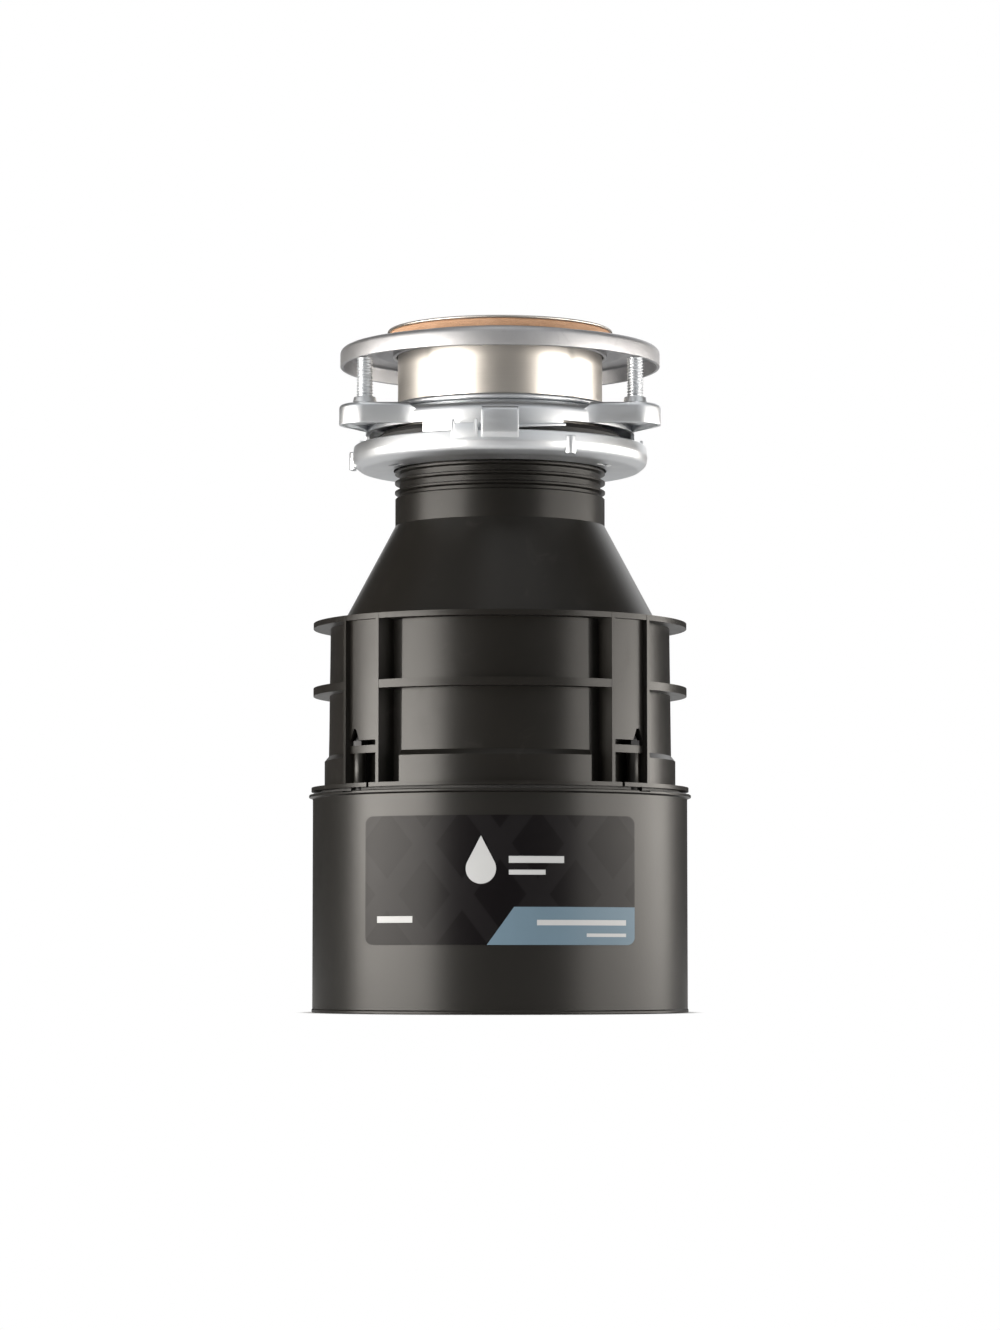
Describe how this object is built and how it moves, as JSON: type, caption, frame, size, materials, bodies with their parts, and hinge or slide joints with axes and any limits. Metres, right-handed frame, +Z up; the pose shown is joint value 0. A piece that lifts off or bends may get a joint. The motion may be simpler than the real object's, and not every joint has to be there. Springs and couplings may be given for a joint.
{
  "type": "kitchen waste disposer",
  "caption": "Under-sink food waste disposer: round motor housing, ribbed hopper with a tapered neck, quick-lock sink mount, swinging impellers and a discharge elbow.",
  "frame": {"origin": "on the motor's axis, at the level of the housing's bottom rim", "axes": "+Z up along the motor's axis to the sink flange; -Y is the front with the name plate; +Y is the side with the discharge elbow"},
  "size_m": [0.1632, 0.2187, 0.2924],
  "materials": {
    "stainless": "brushed stainless steel",
    "zinc": "bright zinc plate",
    "steel": "plain steel",
    "fibre": "pressed fibre board",
    "rubber": "matt black rubber",
    "red_plastic": "moulded red plastic",
    "black_plastic": "moulded black plastic",
    "hopper_plastic": "glass-filled black plastic, satin",
    "housing_paint": "dark grey satin paint",
    "cover_paint": "grey paint",
    "label": "printed glossy film",
    "aluminium": "die cast, plain",
    "cast_alloy": "cast wear-resistant alloy",
    "bronze": "oil-filled sintered bronze",
    "copper": "enamelled copper wire",
    "lamination": "stacked electrical steel sheets",
    "dark_steel": "phosphated steel",
    "phenolic": "brown phenolic board",
    "nylon": "natural nylon",
    "green_paint": "green screw",
    "pipe_plastic": "black moulded pipe"
  },
  "bodies": {
    "disposer": {"sink_flange": "stainless", "upper_mounting_ring": "zinc", "snap_ring": "steel", "mounting_gasket": "rubber", "hopper": "hopper_plastic", "hopper_gasket": "rubber", "shredder_ring": "cast_alloy", "shaft_seal": "rubber", "upper_bearing": "bronze", "upper_end_frame": "aluminium", "discharge_gasket": "rubber", "discharge_flange": "zinc", "discharge_elbow": "pipe_plastic", "discharge_screws": "zinc", "motor_housing": "housing_paint", "name_plate": "label", "stator_core": "lamination", "main_winding": "copper", "start_winding": "copper", "start_switch": "phenolic", "lower_bearing": "bronze", "thrust_washer": "bronze", "lower_end_frame": "cover_paint", "through_bolts": "dark_steel", "through_bolt_nuts": "steel", "overload_protector": "black_plastic", "wiring_cover": "cover_paint", "wiring_cover_screw": "zinc", "ground_screw": "green_paint", "power_leads": "rubber"},
    "rotor": {"turntable": "stainless", "turntable_nut": "steel", "impeller_rivets": "stainless", "slinger": "rubber", "rotor_core": "lamination", "rotor_cage": "aluminium", "rotor_shaft": "steel", "governor_plate": "steel"},
    "governor_collar": {"governor_collar": "nylon"},
    "impeller_left": {"impeller_left": "stainless"},
    "impeller_right": {"impeller_right": "stainless"},
    "reset_button": {"reset_button": "red_plastic"},
    "lower_mounting_ring": {"lower_mounting_ring": "zinc"},
    "backup_flange": {"backup_flange": "zinc", "fibre_gasket": "fibre"},
    "mounting_screw_left": {"mounting_screw_left": "zinc"},
    "mounting_screw_right": {"mounting_screw_right": "zinc"},
    "mounting_screw_rear": {"mounting_screw_rear": "zinc"}
  },
  "joints": [
    {"name": "rotor_spin", "type": "hinge", "parent": "disposer", "child": "rotor", "pos_m": [0, 0, 0.13], "axis": [0, 0, 1], "continuous": true},
    {"name": "impeller_left_swing", "type": "hinge", "parent": "rotor", "child": "impeller_left", "pos_m": [-0.041, 0, 0.1295], "axis": [0, 0, 1], "continuous": true},
    {"name": "impeller_right_swing", "type": "hinge", "parent": "rotor", "child": "impeller_right", "pos_m": [0.041, 0, 0.1295], "axis": [0, 0, 1], "continuous": true},
    {"name": "governor_slide", "type": "slide", "parent": "rotor", "child": "governor_collar", "axis": [0, 0, -1], "range_m": [0, 0.0025], "stiffness_N_per_m": 400, "springref_m": -0.002},
    {"name": "reset_trip", "type": "slide", "parent": "disposer", "child": "reset_button", "axis": [0, 0, -1], "range_m": [0, 0.003]},
    {"name": "lock_turn", "type": "hinge", "parent": "disposer", "child": "lower_mounting_ring", "pos_m": [0, 0, 0.2338], "axis": [0, 0, -1], "range_deg": [0, 33.5]},
    {"name": "flange_slide", "type": "slide", "parent": "disposer", "child": "backup_flange", "axis": [0, 0, -1], "range_m": [0, 0.006]},
    {"name": "screw_left_travel", "type": "slide", "parent": "disposer", "child": "mounting_screw_left", "axis": [0, 0, -1], "range_m": [0, 0.006]},
    {"name": "screw_right_travel", "type": "slide", "parent": "disposer", "child": "mounting_screw_right", "axis": [0, 0, -1], "range_m": [0, 0.006]},
    {"name": "screw_rear_travel", "type": "slide", "parent": "disposer", "child": "mounting_screw_rear", "axis": [0, 0, -1], "range_m": [0, 0.006]}
  ],
  "couplings": [
    {"joint": "screw_left_travel", "follows": "flange_slide", "ratio": 1},
    {"joint": "screw_right_travel", "follows": "flange_slide", "ratio": 1},
    {"joint": "screw_rear_travel", "follows": "flange_slide", "ratio": 1}
  ]
}
